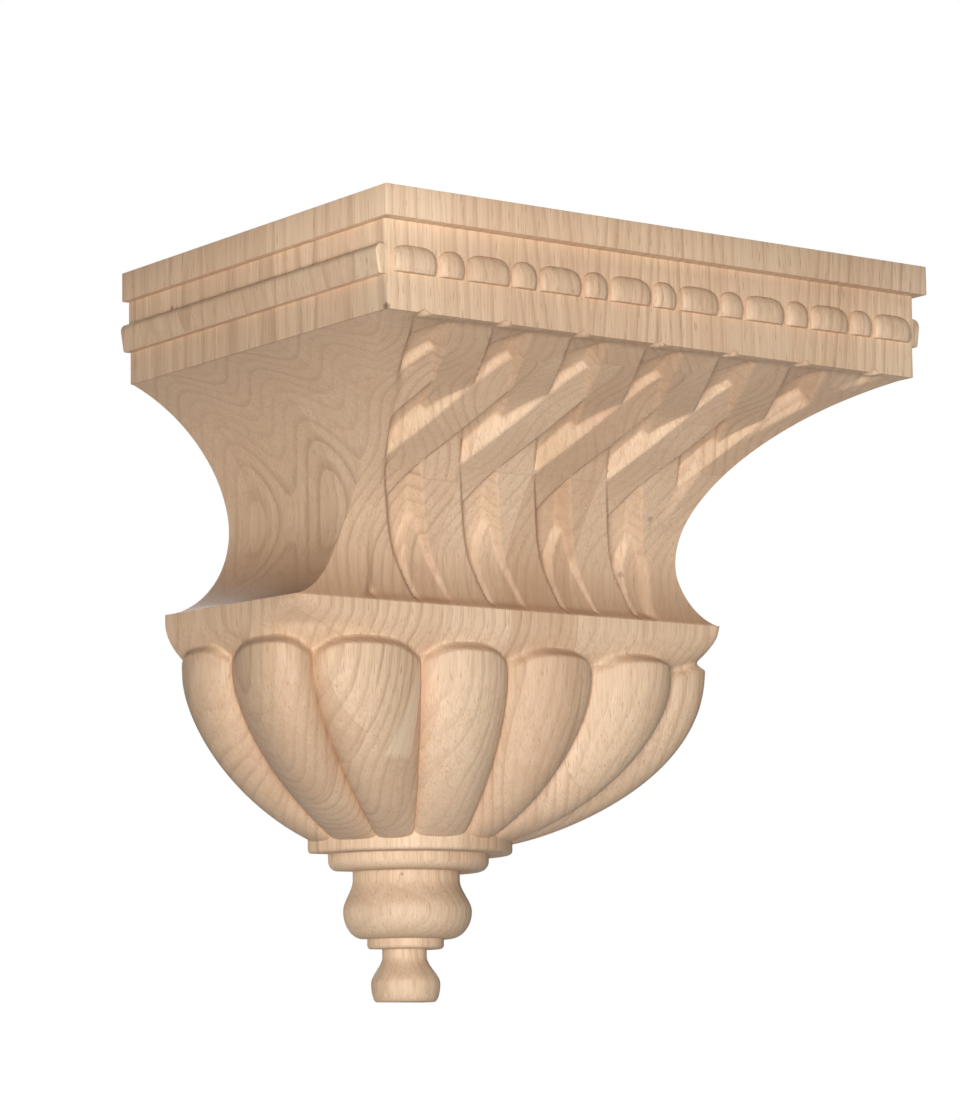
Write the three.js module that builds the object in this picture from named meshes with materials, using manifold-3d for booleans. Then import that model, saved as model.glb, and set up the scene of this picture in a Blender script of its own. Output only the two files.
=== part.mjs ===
// Carved wood corbel, in millimetres.
// +X is right as seen from the front, +Y goes into the wall and +Z is up.
// The origin is on the flat back, on its centre line at half the height.
// Heights in this file are measured from the foot of the finial, and the finished
// mesh is lowered by half the height at the end.

import * as THREE from 'three';
import { mergeVertices } from 'three/addons/utils/BufferGeometryUtils.js';
import Module from 'manifold-3d';

const wasm = await Module();
wasm.setup();

// Overall size
const WIDTH = 209.55;
const DEPTH = 146.05;
const HEIGHT = 228.6;

// Top block, from the top down
const FASCIA_HEIGHT = 9.25;
const RECESS_HEIGHT = 7.2;
const BEAD_BAND_HEIGHT = 8.95;
const LOWER_BAND_HEIGHT = 10.05;
const FASCIA_SIDE_INSET = 0.5;
const FIELD_SIDE_INSET = 3;
const FIELD_FRONT_INSET = 4.2;
const LOWER_SIDE_INSET = 3.6;
const SIDE_BAND_FOOT_PROUD = 2;
const SIDE_BAND_ROUND = 2.4;

// Bead and reel row on the front
const BEAD_COUNT = 8;
const BEAD_LENGTH = 15.2;
const REEL_LENGTH = 9.2;
const BEAD_TALL = 8.1;
const BEAD_LIFT = 0.9;
const BEAD_AXIS_SHARE = 0.35;
const BEAD_PROUD = 2.6;
const BEAD_END_MARGIN = 1.6;
const BEAD_SQUARENESS_POWER = 3.4;
const REEL_SQUARENESS_POWER = 2.4;

// Cove between the block and the rim of the bowl
const COVE_LIP = 0.8;
const THROAT_HALF_WIDTH = 64.75;
const THROAT_DEPTH = 63.6;
const SIDE_THROAT_HEIGHT = 149.1;
const FRONT_THROAT_HEIGHT = 135.4;
const SIDE_COVE_HEAD_RISE_SHARE = 1.0965;
const SIDE_COVE_HEAD_POWER = 1.8;
const SIDE_COVE_FOOT_RISE_SHARE = 1.0141;
const FRONT_COVE_HEAD_RISE_SHARE = 1.0113;
const FRONT_COVE_HEAD_POWER = 1.6;
const FRONT_COVE_FOOT_RISE_SHARE = 1.712;
const COVE_FOOT_POWER = 2;

// Rim of the bowl
const RIM_HEIGHT = 120.8;
const RIM_BACK_HALF_WIDTH = 88.6;
const RIM_FRONT_HALF_WIDTH = 83;
const RIM_DEPTH = 65.8;
const RIM_LEDGE = 0.5;

// Basket weave on the front of the cove
const WEAVE_PITCH = 28.7;
const WEAVE_ROW_STEP = 32.6;
const WEAVE_FIRST_ROW = 21.6;
const WEAVE_SIDE_SHIFT = -1.3;
const RIBBON_WIDTH = 14.35;
const RIBBON_DIP = 3;
const PIT_DEPTH = 5;
const PIT_WALL = 3.6;
const WEAVE_MARGIN = 7.6;
const WEAVE_RIM_MARGIN = 14;
const WEAVE_FADE = 3.8;
const WEAVE_HEAD_FADE = 8;
const WEAVE_FOOT_FADE = 3.4;
const WEAVE_NOTCH_HEIGHT = 2;
const WEAVE_SWEEP = 9;
const WEAVE_STRETCH = 16;
const WEAVE_SWEEP_LENGTH = 30;

// Lobed bowl
const BAND_HEAD_DROP = 2.4;
const BAND_FOOT_HEIGHT = 105.8;
const LEFT_BAND_CORNER_DROP = 8;
const RIGHT_BAND_CORNER_DROP = 36.6;
const BAND_CURVE_POWER = 2.06;
const LOBE_VALLEY_TOP = 100.3;
const LOBE_CREST_TOP = 110.6;
const LOBE_FULL_HEIGHT = 110.2;
const LOBE_TIP_HEIGHT = 5.2;
const LOBE_TIP_POWER = 3;
const LOBE_SWELL_HEIGHT = 4;
const VALLEY_BACK_HALF_WIDTH = 80.9;
const VALLEY_FRONT_HALF_WIDTH = 81.4;
const VALLEY_DEPTH = 60.5;
const VALLEY_FALL_POWER = 1.71;
const VALLEY_FULLNESS_POWER = 1.03;
const CREST_BACK_HALF_WIDTH = 88.5;
const CREST_FRONT_HALF_WIDTH = 86.4;
const CREST_DEPTH = 69.1;
const CREST_FALL_POWER = 2.35;
const CREST_FULLNESS_POWER = 0.75;
const BOWL_CORNER_POWER = 7.45;
const LOBE_ROUNDNESS_POWER = 0.65;
const FRONT_LOBE_SHARE = 0.406;
const LEFT_CORNER_LOBE_SHARE = 0.924;
const RIGHT_CORNER_LOBE_SHARE = 0.824;
const WALL_LOBE_SHARE = 0.547;
const LEFT_FRONT_TURN_SHARE = 0.307;
const RIGHT_FRONT_TURN_SHARE = 0.203;
const CORNER_TURN_SHARE = 0.51;
const WALL_TURN_SHARE = 0.799;
const FOOT_HEIGHT = 50.3;
const FOOT_RADIUS = 32.5;

// Turned rings and finial, which are a little more than half round
const AXIS_SETBACK = 2.67;
const COLLAR_RADIUS = 35.5;
const COLLAR_FOOT_HEIGHT = 47.2;
const COLLAR_HEIGHT = 6.8;
const TURNED_EDGE = 1.2;
const FILLET_RING_RADIUS = 27.8;
const FILLET_RING_FOOT_HEIGHT = 41.8;
const FILLET_RING_ROUND = 3.4;
const NECK_RADIUS = 18.3;
const NECK_HEIGHT = 39.1;
const BULB_RADIUS = 22.1;
const BULB_HEIGHT = 29;
const BULB_FOOT_RADIUS = 14.6;
const SMALL_RING_RADIUS = 12.9;
const SMALL_RING_HEAD_HEIGHT = 20.2;
const SMALL_RING_FOOT_HEIGHT = 17;
const WAIST_RADIUS = 7.3;
const WAIST_HEIGHT = 14.6;
const DROP_RADIUS = 11.6;
const DROP_HEIGHT = 5.9;
const BASE_RADIUS = 9.5;

// Fineness of the faceted solid
const WEAVE_CELLS_PER_HALF_PITCH = 4;
const SEGMENTS_PER_LOBE = 8;
const BAND_ROWS = 5;
const TIP_ROWS = 5;
const LOBE_ROWS = 14;
const COVE_ROWS = 24;
const TURNING_SEGMENTS = 36;
const OVERLAP = 5;

// Heights and plan sizes worked out from the values above
const fasciaFoot = HEIGHT - FASCIA_HEIGHT;
const recessFoot = fasciaFoot - RECESS_HEIGHT;
const beadBandFoot = recessFoot - BEAD_BAND_HEIGHT;
const coveHead = beadBandFoot - LOWER_BAND_HEIGHT;
const fieldHalfWidth = WIDTH / 2 - FIELD_SIDE_INSET;
const lowerHalfWidth = WIDTH / 2 - LOWER_SIDE_INSET;
const fieldFront = DEPTH - FIELD_FRONT_INSET;

const material = new THREE.MeshStandardMaterial({ color: 0xd2ae8a, roughness: 0.72, metalness: 0 });

// Small helpers
const lerp = THREE.MathUtils.lerp;
const smoothstep = THREE.MathUtils.smoothstep;
const clamp = THREE.MathUtils.clamp;

// Joins and cuts
function toSolid(geometry) {
  const bare = geometry.index ? geometry.toNonIndexed() : geometry.clone();
  for (const name of Object.keys(bare.attributes)) {
    if (name !== 'position') bare.deleteAttribute(name);
  }
  const merged = mergeVertices(bare);
  const index = merged.index.array;
  const faces = [];
  for (let i = 0; i < index.length; i += 3) {
    const [a, b, c] = [index[i], index[i + 1], index[i + 2]];
    if (a !== b && b !== c && c !== a) faces.push(a, b, c);
  }
  return new wasm.Manifold(new wasm.Mesh({
    numProp: 3,
    vertProperties: new Float32Array(merged.attributes.position.array),
    triVerts: new Uint32Array(faces),
  }));
}

function toGeometry(solid) {
  const mesh = solid.getMesh();
  const geometry = new THREE.BufferGeometry();
  geometry.setAttribute('position', new THREE.BufferAttribute(mesh.vertProperties, 3));
  geometry.setIndex(new THREE.BufferAttribute(mesh.triVerts, 1));
  geometry.computeVertexNormals();
  return geometry;
}

// A closed skin through rings of points of equal count, with flat ends.
// flatten gives the two coordinates in which the end faces are triangulated.
function skin(rings, flatten) {
  const points = [];
  const face = (a, b, c) => points.push(a, b, c);
  const count = rings[0].length;
  for (let i = 0; i + 1 < rings.length; i += 1) {
    for (let j = 0; j < count; j += 1) {
      const k = (j + 1) % count;
      face(rings[i][j], rings[i + 1][j], rings[i + 1][k]);
      face(rings[i][j], rings[i + 1][k], rings[i][k]);
    }
  }
  const last = rings[rings.length - 1];
  for (const [a, b, c] of endFaces(rings[0], flatten)) face(rings[0][a], rings[0][b], rings[0][c]);
  for (const [a, b, c] of endFaces(last, flatten)) face(last[a], last[c], last[b]);
  return outward(points);
}

// Triangles of a flat end, turned so that its outline runs the way its points do
function endFaces(ring, flatten) {
  const outline = ring.map((p) => new THREE.Vector2(...flatten(p)));
  const clockwise = THREE.ShapeUtils.isClockWise(outline);
  return THREE.ShapeUtils.triangulateShape(outline, []).map(([a, b, c]) => {
    const turn = new THREE.Vector2().subVectors(outline[b], outline[a])
      .cross(new THREE.Vector2().subVectors(outline[c], outline[a]));
    return (turn < 0) === clockwise ? [a, b, c] : [a, c, b];
  });
}

// Triangles with their faces pointing out, as a geometry
function outward(points) {
  let volume = 0;
  for (let i = 0; i < points.length; i += 3) {
    volume += points[i].dot(new THREE.Vector3().crossVectors(points[i + 1], points[i + 2]));
  }
  const flat = [];
  for (let i = 0; i < points.length; i += 3) {
    const order = volume < 0 ? [0, 2, 1] : [0, 1, 2];
    for (const k of order) flat.push(points[i + k].x, points[i + k].y, points[i + k].z);
  }
  const geometry = new THREE.BufferGeometry();
  geometry.setAttribute('position', new THREE.Float32BufferAttribute(flat, 3));
  return geometry;
}

// A box with its back on the wall plane
function slab(halfWidth, front, foot, head) {
  const box = new THREE.BoxGeometry(2 * halfWidth, front, head - foot);
  box.translate(0, -front / 2, (foot + head) / 2);
  return toSolid(box);
}

// The proud band on one side of the block, with its top edge rounded off
function sideBand(side) {
  const root = fieldHalfWidth - OVERLAP;
  const rounds = 5;
  const outline = new THREE.Shape();
  outline.moveTo(root, beadBandFoot);
  outline.lineTo(fieldHalfWidth + SIDE_BAND_FOOT_PROUD, beadBandFoot);
  for (let i = 0; i <= rounds; i += 1) {
    const angle = (Math.PI / 2) * (i / rounds);
    outline.lineTo(
      WIDTH / 2 - SIDE_BAND_ROUND * (1 - Math.cos(angle)),
      recessFoot - SIDE_BAND_ROUND * (1 - Math.sin(angle)),
    );
  }
  outline.lineTo(root, recessFoot);
  const band = new THREE.ExtrudeGeometry(outline, { depth: fieldFront, bevelEnabled: false });
  band.rotateX(Math.PI / 2);
  if (side > 0) return toSolid(band);
  band.rotateZ(Math.PI);
  band.translate(0, -fieldFront, 0);
  return toSolid(band);
}

// One bead, as a rounded barrel lying along X, half sunk in the band and cut off flat below
function bead(length, centre, squareness) {
  const rounds = 8;
  const sides = 12;
  const profile = [];
  for (let i = 0; i <= rounds; i += 1) {
    const along = -Math.cos((Math.PI * i) / rounds);
    const radius = Math.pow(1 - Math.pow(Math.abs(along), squareness), 1 / squareness);
    profile.push(new THREE.Vector2(i % rounds === 0 ? 0 : radius, (along * length) / 2));
  }
  const foot = beadBandFoot + BEAD_LIFT;
  const barrel = new THREE.LatheGeometry(profile, sides);
  barrel.rotateZ(Math.PI / 2);
  barrel.scale(1, BEAD_PROUD, BEAD_TALL * (1 - BEAD_AXIS_SHARE));
  barrel.translate(centre, -fieldFront, foot + BEAD_TALL * BEAD_AXIS_SHARE);
  return toSolid(barrel).trimByPlane([0, 0, 1], foot);
}

function beadRow() {
  const first = -lowerHalfWidth + BEAD_END_MARGIN + BEAD_LENGTH / 2;
  const pitch = (-2 * first) / (BEAD_COUNT - 1);
  const row = [];
  for (let i = 0; i < BEAD_COUNT; i += 1) {
    row.push(bead(BEAD_LENGTH, first + i * pitch, BEAD_SQUARENESS_POWER));
    if (i > 0) row.push(bead(REEL_LENGTH, first + (i - 0.5) * pitch, REEL_SQUARENESS_POWER));
  }
  return row;
}

// Cove outlines. Each half of a cove is a quarter of a rounded square with the given power,
// from the throat out to the place that it has to meet. The rise share says how tall the
// quarter is against the height it has to cover.
function quarter(rise, fullRise, power) {
  const share = clamp(Math.abs(rise) / fullRise, 0, 1);
  return 1 - Math.pow(1 - Math.pow(share, power), 1 / power);
}

function coveReach(height, throatHeight, throat, head, foot) {
  const end = height > throatHeight ? head : foot;
  const wholeRise = end.height - throatHeight;
  const fullRise = Math.abs(wholeRise) * end.riseShare;
  const whole = quarter(wholeRise, fullRise, end.power);
  return throat + ((end.reach - throat) * quarter(height - throatHeight, fullRise, end.power)) / whole;
}

function sideReach(height) {
  const head = {
    height: coveHead,
    reach: lowerHalfWidth - COVE_LIP,
    riseShare: SIDE_COVE_HEAD_RISE_SHARE,
    power: SIDE_COVE_HEAD_POWER,
  };
  const foot = {
    height: RIM_HEIGHT,
    reach: RIM_BACK_HALF_WIDTH - RIM_LEDGE,
    riseShare: SIDE_COVE_FOOT_RISE_SHARE,
    power: COVE_FOOT_POWER,
  };
  return coveReach(height, SIDE_THROAT_HEIGHT, THROAT_HALF_WIDTH, head, foot);
}

function frontReach(height) {
  const head = {
    height: coveHead,
    reach: fieldFront - COVE_LIP,
    riseShare: FRONT_COVE_HEAD_RISE_SHARE,
    power: FRONT_COVE_HEAD_POWER,
  };
  const foot = {
    height: RIM_HEIGHT,
    reach: RIM_DEPTH - RIM_LEDGE,
    riseShare: FRONT_COVE_FOOT_RISE_SHARE,
    power: COVE_FOOT_POWER,
  };
  return coveReach(height, FRONT_THROAT_HEIGHT, THROAT_DEPTH, head, foot);
}

// Half width of the side cove at a height and a distance from the wall.
// Towards the rim it closes in a little from the wall to the front.
function sideReachAt(height, front) {
  const reach = sideReach(height);
  if (height > SIDE_THROAT_HEIGHT) return reach;
  const splay = (RIM_BACK_HALF_WIDTH - RIM_FRONT_HALF_WIDTH) / (RIM_BACK_HALF_WIDTH - THROAT_HALF_WIDTH);
  return THROAT_HALF_WIDTH + (reach - THROAT_HALF_WIDTH) * (1 - (splay * front) / RIM_DEPTH);
}

// The front outline measured along its own length, from the foot of the block down
function frontTrack() {
  const steps = 400;
  const track = [];
  let length = 0;
  for (let i = 0; i <= steps; i += 1) {
    const turn = i / steps;
    const height = coveHead - (coveHead - RIM_HEIGHT) * turn * turn * (3 - 2 * turn);
    const point = { height, front: frontReach(height), length: 0 };
    if (i > 0) length += Math.hypot(height - track[i - 1].height, point.front - track[i - 1].front);
    point.length = length;
    track.push(point);
  }
  return track;
}

const track = frontTrack();
const trackLength = track[track.length - 1].length;

// Place and outward direction on the front outline, at a length along it
function onTrack(length) {
  const wanted = clamp(length, 0, trackLength);
  let i = 1;
  while (i < track.length - 1 && track[i].length < wanted) i += 1;
  const from = track[i - 1];
  const to = track[i];
  const share = (wanted - from.length) / (to.length - from.length);
  const span = Math.hypot(to.height - from.height, to.front - from.front);
  return {
    height: lerp(from.height, to.height, share),
    front: lerp(from.front, to.front, share),
    outFront: (from.height - to.height) / span,
    outHeight: (to.front - from.front) / span,
  };
}

// Basket weave. Two families of ribbons lean opposite ways, and every row of crossings
// has the same family on top, turn about.
function fromNearest(value, pitch) {
  return value - pitch * Math.round(value / pitch);
}

// The pattern swings to the right and stretches near the rim
function nearRim(length) {
  const past = Math.max(0, length - (trackLength - WEAVE_SWEEP_LENGTH)) / WEAVE_SWEEP_LENGTH;
  return past * past;
}

function sweep(length) {
  return WEAVE_SWEEP * nearRim(length);
}

function ribbonHeight(offset, wave, dip) {
  const across = Math.max(0, Math.abs(offset) - RIBBON_WIDTH / 2);
  return (-dip * (1 - wave)) / 2 - (PIT_DEPTH * across) / PIT_WALL;
}

function weaveDepth(x, length) {
  const lean = WEAVE_PITCH / 2 / WEAVE_ROW_STEP;
  const drop = length - WEAVE_STRETCH * nearRim(length) - WEAVE_FIRST_ROW;
  const wave = Math.cos((Math.PI * drop) / WEAVE_ROW_STEP);
  const fallingRight = fromNearest(x - WEAVE_SIDE_SHIFT - lean * drop, WEAVE_PITCH);
  const fallingLeft = fromNearest(x - WEAVE_SIDE_SHIFT + lean * drop, WEAVE_PITCH);
  const dip = RIBBON_DIP * smoothstep(length, 0, WEAVE_HEAD_FADE);
  const rightOne = ribbonHeight(fallingRight, wave, dip);
  const leftOne = ribbonHeight(fallingLeft, -wave, dip);
  return Math.max(rightOne, leftOne, -PIT_DEPTH);
}

// The weave at a pattern place x and a length down the outline, fading out beside the
// side coves and above the rim
function carvedDepth(x, length) {
  const place = onTrack(length);
  const edge = sideReachAt(place.height, place.front) - Math.abs(x + sweep(length));
  const margin = WEAVE_MARGIN + WEAVE_RIM_MARGIN * nearRim(length);
  const sideFade = smoothstep(edge, margin, margin + WEAVE_FADE);
  const footFade = smoothstep(trackLength - length, 0, WEAVE_FOOT_FADE);
  return weaveDepth(x, length) * sideFade * footFade;
}

function carvedPoint(x, length) {
  const place = onTrack(length);
  const depth = carvedDepth(x, length);
  return new THREE.Vector3(
    x + sweep(length),
    -place.front - depth * place.outFront,
    place.height + depth * place.outHeight,
  );
}

// Height of the block's lower front edge, which the topmost pits notch
function notchedEdge(x) {
  return coveHead - (WEAVE_NOTCH_HEIGHT * carvedDepth(x, 0)) / PIT_DEPTH;
}

// The woven slab, wider than the cove: its front is the carved outline, its back is flat
function wovenSlab() {
  const step = WEAVE_PITCH / 2 / WEAVE_CELLS_PER_HALF_PITCH;
  const rowStep = WEAVE_ROW_STEP / WEAVE_CELLS_PER_HALF_PITCH;
  const cells = Math.ceil((WIDTH / 2 + OVERLAP + WEAVE_SWEEP) / step);
  const columns = [];
  for (let i = -cells; i <= cells; i += 1) columns.push(WEAVE_SIDE_SHIFT + i * step);
  const firstRow = WEAVE_FIRST_ROW % rowStep;
  const lengths = [0];
  for (let s = firstRow; s < trackLength - rowStep / 4; s += rowStep) lengths.push(s);
  lengths.push(trackLength);

  const front = columns.map((x) => lengths.map((s) => carvedPoint(x, s)));
  const head = columns.map((x) => [
    new THREE.Vector3(x, -fieldFront, beadBandFoot + OVERLAP),
    new THREE.Vector3(x, -fieldFront, notchedEdge(x)),
  ]);
  const foot = columns.map((x) => (
    new THREE.Vector3(x + WEAVE_SWEEP, -RIM_DEPTH + OVERLAP, RIM_HEIGHT - OVERLAP)
  ));
  const back = columns.map((x) => [
    new THREE.Vector3(x + WEAVE_SWEEP, OVERLAP, RIM_HEIGHT - OVERLAP),
    new THREE.Vector3(x, OVERLAP, beadBandFoot + OVERLAP),
  ]);

  const points = [];
  const face = (a, b, c) => points.push(a, b, c);
  const quad = (a, b, c, d) => {
    face(a, b, c);
    face(a, c, d);
  };
  const carved = (i, j) => {
    const middle = (columns[i] + columns[i + 1]) / 2;
    const centre = carvedPoint(middle, (lengths[j] + lengths[j + 1]) / 2);
    const ring = [front[i][j], front[i][j + 1], front[i + 1][j + 1], front[i + 1][j]];
    ring.forEach((p, k) => face(p, ring[(k + 1) % 4], centre));
  };
  const ring = columns.map((x, i) => [...head[i], ...front[i], foot[i], ...back[i]]);
  const carvedStart = 2;
  const carvedEnd = carvedStart + lengths.length - 1;
  for (let i = 0; i + 1 < columns.length; i += 1) {
    for (let j = 0; j < ring[i].length; j += 1) {
      const k = (j + 1) % ring[i].length;
      if (j >= carvedStart && j < carvedEnd) carved(i, j - carvedStart);
      else quad(ring[i][j], ring[i][k], ring[i + 1][k], ring[i + 1][j]);
    }
  }
  const flatten = (p) => [p.y, p.z];
  const last = ring[ring.length - 1];
  for (const [a, b, c] of endFaces(ring[0], flatten)) face(ring[0][c], ring[0][b], ring[0][a]);
  for (const [a, b, c] of endFaces(last, flatten)) face(last[a], last[b], last[c]);
  return toSolid(outward(points));
}

// The cove seen from the front, run straight out past the carved front
function sidePrism() {
  const front = fieldFront + 2 * OVERLAP;
  const level = (height, back, ahead) => [
    new THREE.Vector3(-back, 0, height),
    new THREE.Vector3(-ahead, -front, height),
    new THREE.Vector3(ahead, -front, height),
    new THREE.Vector3(back, 0, height),
  ];
  const rings = [
    level(beadBandFoot + OVERLAP, lowerHalfWidth, lowerHalfWidth),
    level(coveHead, lowerHalfWidth, lowerHalfWidth),
    level(coveHead, sideReach(coveHead), sideReach(coveHead)),
  ];
  for (let i = 1; i <= COVE_ROWS; i += 1) {
    const turn = i / COVE_ROWS;
    const height = lerp(coveHead, RIM_HEIGHT, (1 - Math.cos(Math.PI * turn)) / 2);
    rings.push(level(height, sideReach(height), sideReachAt(height, front)));
  }
  const inner = RIM_BACK_HALF_WIDTH - 2 * OVERLAP;
  rings.push(level(RIM_HEIGHT - OVERLAP, inner, inner - 2 * OVERLAP));
  return toSolid(skin(rings, (p) => [p.x, p.y]));
}

// Plan outlines of the bowl. A place along one half of an outline runs from 0 at the middle
// of the front, through 1 at the corner, to 2 at the wall. A corner of 0 is sharp.
function cornerPlan(place, corner, backHalfWidth, frontHalfWidth, depth) {
  const [x, y] = place <= 1 ? [place, 1] : [1, 2 - place];
  const reach = corner > 0 ? Math.pow(Math.pow(x, 1 / corner) + Math.pow(y, 1 / corner), corner) : 1;
  return [(lerp(backHalfWidth, frontHalfWidth, y / reach) * x) / reach, (depth * y) / reach];
}

function roundPlan(turn, radius) {
  const angle = turn * (Math.PI / 2 + Math.asin(AXIS_SETBACK / radius));
  return [radius * Math.sin(angle), Math.max(0, AXIS_SETBACK + radius * Math.cos(angle))];
}

// A point part of the way from one plan to another
function mix(a, b, share) {
  return [lerp(a[0], b[0], share), lerp(a[1], b[1], share)];
}

// The columns of one half: place on the plan, turn of the foot and place across the lobe.
// One column of the corner lobe stands on the corner itself.
function lobeColumns(cornerLobeShare, frontTurnShare) {
  const edges = [0, FRONT_LOBE_SHARE, cornerLobeShare, 1 + WALL_LOBE_SHARE, 2];
  const turns = [0, frontTurnShare, CORNER_TURN_SHARE, WALL_TURN_SHARE, 1];
  const columns = [];
  for (let lobe = 0; lobe < 4; lobe += 1) {
    const span = edges[lobe + 1] - edges[lobe];
    const ahead = Math.max(1, Math.round((SEGMENTS_PER_LOBE * (1 - edges[lobe])) / span));
    for (let i = lobe === 0 ? 0 : 1; i <= SEGMENTS_PER_LOBE; i += 1) {
      let place = lerp(edges[lobe], edges[lobe + 1], i / SEGMENTS_PER_LOBE);
      if (lobe === 2) {
        place = i <= ahead
          ? lerp(edges[2], 1, i / ahead)
          : lerp(1, edges[3], (i - ahead) / (SEGMENTS_PER_LOBE - ahead));
      }
      const share = (place - edges[lobe]) / span;
      columns.push({ place, turn: lerp(turns[lobe], turns[lobe + 1], share), across: 2 * share - 1 });
    }
  }
  return columns;
}

// How far the bowl still stands out at a height, from 1 at its full width to 0 at its foot
function bowlReach(height, top, fallPower, fullness) {
  const fall = clamp((top - height) / (top - FOOT_HEIGHT), 0, 1);
  return Math.pow(1 - Math.pow(fall, fallPower), fullness);
}

function bowlPoint(column, height, cornerDrop) {
  const { place, turn, across } = column;
  const corner = 1 / BOWL_CORNER_POWER;
  const foot = roundPlan(turn, FOOT_RADIUS);
  const valleySizes = [VALLEY_BACK_HALF_WIDTH, VALLEY_FRONT_HALF_WIDTH, VALLEY_DEPTH];
  const valleyPlan = cornerPlan(place, corner, ...valleySizes);
  const crestSizes = [CREST_BACK_HALF_WIDTH, CREST_FRONT_HALF_WIDTH, CREST_DEPTH];
  const crestPlan = cornerPlan(place, corner, ...crestSizes);
  let base;
  if (height >= LOBE_VALLEY_TOP) {
    const drop = RIM_HEIGHT - height;
    const bandCorner = corner * clamp(drop / cornerDrop, 0, 1);
    const bandPlan = cornerPlan(place, bandCorner, RIM_BACK_HALF_WIDTH, RIM_FRONT_HALF_WIDTH, RIM_DEPTH);
    const bandRise = RIM_HEIGHT - BAND_HEAD_DROP - BAND_FOOT_HEIGHT;
    const share = clamp((drop - BAND_HEAD_DROP) / bandRise, 0, 1);
    base = mix(bandPlan, valleyPlan, Math.pow(share, BAND_CURVE_POWER));
  } else {
    const share = bowlReach(height, LOBE_VALLEY_TOP, VALLEY_FALL_POWER, VALLEY_FULLNESS_POWER);
    base = mix(foot, valleyPlan, share);
  }
  const crestShare = bowlReach(height, LOBE_FULL_HEIGHT, CREST_FALL_POWER, CREST_FULLNESS_POWER);
  const crest = mix(foot, crestPlan, crestShare);
  const round = Math.pow(Math.max(0, Math.cos((Math.PI * across) / 2)), LOBE_ROUNDNESS_POWER);
  const lobeTop = LOBE_CREST_TOP - LOBE_TIP_HEIGHT * Math.pow(Math.abs(across), LOBE_TIP_POWER);
  const swell = smoothstep(lobeTop - height, 0, LOBE_SWELL_HEIGHT);
  return mix(base, crest, round * swell);
}

function bowl() {
  const leftColumns = lobeColumns(LEFT_CORNER_LOBE_SHARE, LEFT_FRONT_TURN_SHARE);
  const rightColumns = lobeColumns(RIGHT_CORNER_LOBE_SHARE, RIGHT_FRONT_TURN_SHARE);
  const heights = [];
  for (let i = 0; i <= BAND_ROWS; i += 1) {
    heights.push(lerp(RIM_HEIGHT, LOBE_CREST_TOP, i / BAND_ROWS));
  }
  for (let i = 1; i <= TIP_ROWS; i += 1) {
    heights.push(lerp(LOBE_CREST_TOP, LOBE_VALLEY_TOP, i / TIP_ROWS));
  }
  for (let i = 1; i <= LOBE_ROWS; i += 1) {
    heights.push(lerp(LOBE_VALLEY_TOP, FOOT_HEIGHT, Math.sin((Math.PI / 2) * (i / LOBE_ROWS))));
  }
  const rings = heights.map((height) => {
    const half = (columns, side, cornerDrop) => columns.map((column) => {
      const [x, front] = bowlPoint(column, height, cornerDrop);
      return new THREE.Vector3(side * x, -front, height);
    });
    const left = half(leftColumns, -1, LEFT_BAND_CORNER_DROP);
    return [...left.slice(1).reverse(), ...half(rightColumns, 1, RIGHT_BAND_CORNER_DROP)];
  });
  return toSolid(skin(rings, (p) => [p.x, p.y]));
}

// Turned rings and finial. An ogee leaves and arrives upright, an arc leaves level
// and arrives upright.
function ogee(fromRadius, fromHeight, toRadius, toHeight, steps) {
  const points = [];
  for (let i = 1; i <= steps; i += 1) {
    const share = i / steps;
    points.push(new THREE.Vector2(
      lerp(fromRadius, toRadius, smoothstep(share, 0, 1)),
      lerp(fromHeight, toHeight, share),
    ));
  }
  return points;
}

function arc(fromRadius, fromHeight, toRadius, toHeight, steps) {
  const points = [];
  for (let i = 1; i <= steps; i += 1) {
    const angle = (Math.PI / 2) * (i / steps);
    points.push(new THREE.Vector2(
      lerp(fromRadius, toRadius, Math.sin(angle)),
      lerp(fromHeight, toHeight, 1 - Math.cos(angle)),
    ));
  }
  return points;
}

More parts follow.
